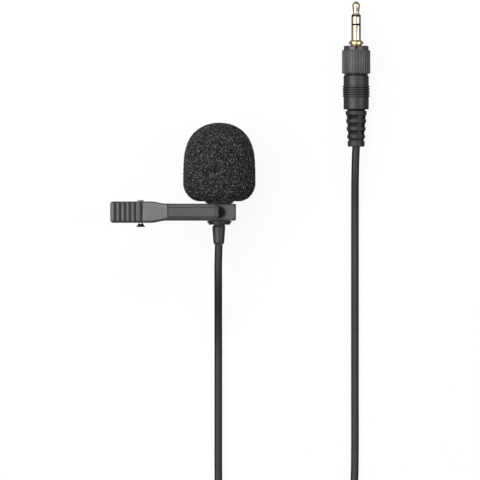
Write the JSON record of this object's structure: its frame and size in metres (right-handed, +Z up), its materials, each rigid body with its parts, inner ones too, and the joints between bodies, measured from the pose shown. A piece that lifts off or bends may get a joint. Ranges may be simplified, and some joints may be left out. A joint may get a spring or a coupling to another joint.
{
  "type": "lavalier microphone",
  "caption": "Clip-on lavalier microphone with foam windscreen, swivelling sprung tie clip, thin cord wound in a coil, and locking 3.5 mm three-pole jack plug.",
  "frame": {"origin": "On the surface the microphone lies on, below the middle of the box round the microphone and its clip, without the cord and plug", "axes": "+Y along the microphone's axis from the cord towards the foam dome, +X from the clip's grip towards the microphone's axis, +Z up, out of the clip's free jaw"},
  "size_m": [0.0948, 0.229, 0.0269],
  "materials": {
    "aluminium": "drawn can, plain",
    "black_foam": "open-cell foam",
    "black_metal": "black plated, satin",
    "black_rubber": "matt flexible PVC or rubber",
    "board_green": "circuit board with solder mask",
    "brass": "tinned brass, plain",
    "gold": "gold plated, polished",
    "matte_black": "moulded, fine matt texture",
    "red_sheath": "insulated conductor",
    "satin_black": "smooth satin black",
    "steel": "nickel-plated steel",
    "steel_mesh": "fine woven mesh",
    "white_sheath": "insulated conductor"
  },
  "bodies": {
    "microphone": {"capsule_housing": "satin_black", "grille": "black_metal", "acoustic_mesh": "steel_mesh", "capsule_gasket": "black_rubber", "electret_capsule": "aluminium", "capsule_board": "board_green", "signal_lead": "red_sheath", "ground_lead": "white_sheath", "end_cap": "satin_black", "mic_strain_relief": "black_rubber", "mic_cable_end": "black_rubber", "cable_crimp": "brass", "cord_mic_run": "black_rubber", "cord_coil": "black_rubber", "coil_tie": "black_rubber", "cord_plug_run": "black_rubber", "plug_boot": "black_rubber", "plug_barrel": "satin_black", "plug_cable_end": "black_rubber", "cable_clamp": "brass", "plug_signal_lead": "red_sheath", "plug_bias_lead": "white_sheath", "tip_terminal": "brass", "ring_terminal": "brass", "collar_hub": "black_metal", "collar_retainer": "steel", "sleeve_contact": "gold", "ring_insulator": "satin_black", "ring_contact": "gold", "tip_insulator": "satin_black", "plug_tip": "gold"},
    "windscreen": {"windscreen": "black_foam"},
    "holder": {"holder_ring": "matte_black", "swivel_rivet": "satin_black"},
    "rear_jaw": {"rear_jaw": "matte_black", "pivot_pin": "steel", "pin_retainer": "satin_black", "jaw_spring": "steel"},
    "front_jaw": {"front_jaw": "matte_black"},
    "locking_collar": {"locking_collar": "black_metal"}
  },
  "joints": [
    {"name": "windscreen_pull", "type": "slide", "parent": "microphone", "child": "windscreen", "axis": [0, 1, 0], "range_m": [0, 0.03]},
    {"name": "holder_turn", "type": "hinge", "parent": "microphone", "child": "holder", "pos_m": [0.01324, -0.0105, 0.01317], "axis": [0, 1, 0], "range_deg": [-180, 180]},
    {"name": "clip_swivel", "type": "hinge", "parent": "holder", "child": "rear_jaw", "pos_m": [0.01324, -0.0105, 0.02005], "axis": [0, 0, 1], "range_deg": [0, 180]},
    {"name": "jaw_pivot", "type": "hinge", "parent": "rear_jaw", "child": "front_jaw", "pos_m": [-0.01536, -0.0105, 0.022], "axis": [0, -1, 0], "range_deg": [0, 24], "stiffness_Nm_per_rad": 0.012, "springref_deg": -91.67, "deforming": ["jaw_spring"]},
    {"name": "collar_turn", "type": "hinge", "parent": "microphone", "child": "locking_collar", "pos_m": [0.06324, -0.0105, 0.00517], "axis": [0, 1, 0], "continuous": true}
  ]
}
